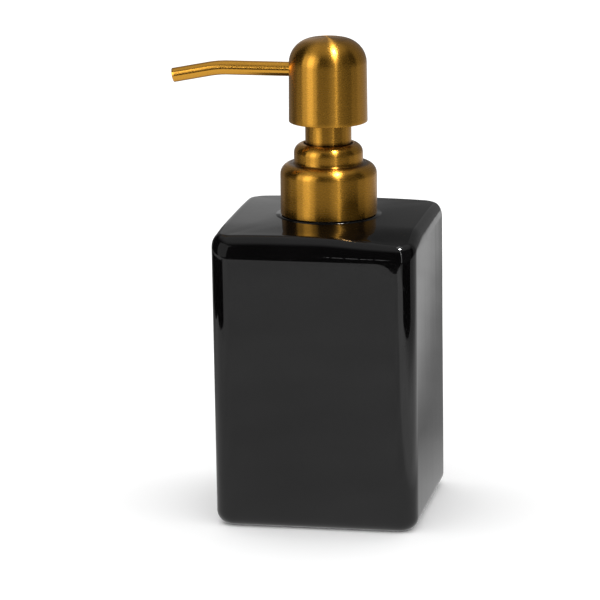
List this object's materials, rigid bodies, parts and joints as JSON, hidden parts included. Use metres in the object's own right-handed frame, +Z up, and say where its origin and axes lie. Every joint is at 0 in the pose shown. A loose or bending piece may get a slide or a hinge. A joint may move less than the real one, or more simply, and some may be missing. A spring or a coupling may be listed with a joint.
{
  "type": "soap pump dispenser",
  "caption": "Refillable countertop soap dispenser: a square glazed ceramic bottle with a screw-on lotion pump, a domed press-down head and a long drooping spout.",
  "frame": {"origin": "centre of the bottle's flat base", "axes": "+Z up along the pump's axis; the spout points along -X at rest; the bottle's front and back faces lie across Y"},
  "size_m": [0.0873, 0.0688, 0.16],
  "materials": {
    "glazed_bottle": "gloss black glaze",
    "gold_steel": "gold-toned stainless sheet, brushed round the axis",
    "plain_steel": "drawn stainless wire and ball",
    "black_plastic": "moulded",
    "white_plastic": "moulded",
    "clear_plastic": "natural translucent polythene",
    "black_rubber": "matt",
    "grey_rubber": "matt"
  },
  "bodies": {
    "bottle": {"bottle_body": "glazed_bottle", "neck_insert": "black_plastic", "insert_seal": "black_rubber"},
    "pump_body": {"pump_housing": "clear_plastic", "lock_ring": "white_plastic", "housing_gasket": "grey_rubber", "dip_tube": "clear_plastic", "ball_cage": "white_plastic", "return_spring": "plain_steel"},
    "closure": {"threaded_closure": "black_plastic", "collar_shell": "gold_steel"},
    "stem": {"stem_lower": "white_plastic", "stem_upper": "white_plastic"},
    "piston": {"piston_seal": "clear_plastic"},
    "head": {"head_core": "white_plastic", "head_shell": "gold_steel", "neck_sleeve": "gold_steel", "spout_tube": "gold_steel", "spout_liner": "white_plastic", "spout_seal": "grey_rubber"},
    "inlet_ball": {"inlet_ball": "plain_steel"}
  },
  "joints": [
    {"name": "pump_rise", "type": "slide", "parent": "bottle", "child": "pump_body", "axis": [0, 0, 1], "range_m": [0, 0.00635]},
    {"name": "closure_turn", "type": "hinge", "parent": "pump_body", "child": "closure", "pos_m": [0, 0, 0.108], "axis": [0, 0, 1], "range_deg": [0, 540]},
    {"name": "pump_press", "type": "slide", "parent": "pump_body", "child": "stem", "axis": [0, 0, -1], "range_m": [0, 0.012], "stiffness_N_per_m": 600, "springref_m": -0.01, "deforming": ["return_spring"]},
    {"name": "head_swivel", "type": "hinge", "parent": "stem", "child": "head", "pos_m": [0, 0, 0.14], "axis": [0, 0, 1], "continuous": true},
    {"name": "piston_lag", "type": "slide", "parent": "stem", "child": "piston", "axis": [0, 0, 1], "range_m": [0, 0.0012]},
    {"name": "ball_lift", "type": "slide", "parent": "pump_body", "child": "inlet_ball", "axis": [0, 0, 1], "range_m": [0, 0.0015]}
  ],
  "couplings": [
    {"joint": "pump_rise", "follows": "closure_turn", "m_per_rad": 0.00067323}
  ]
}
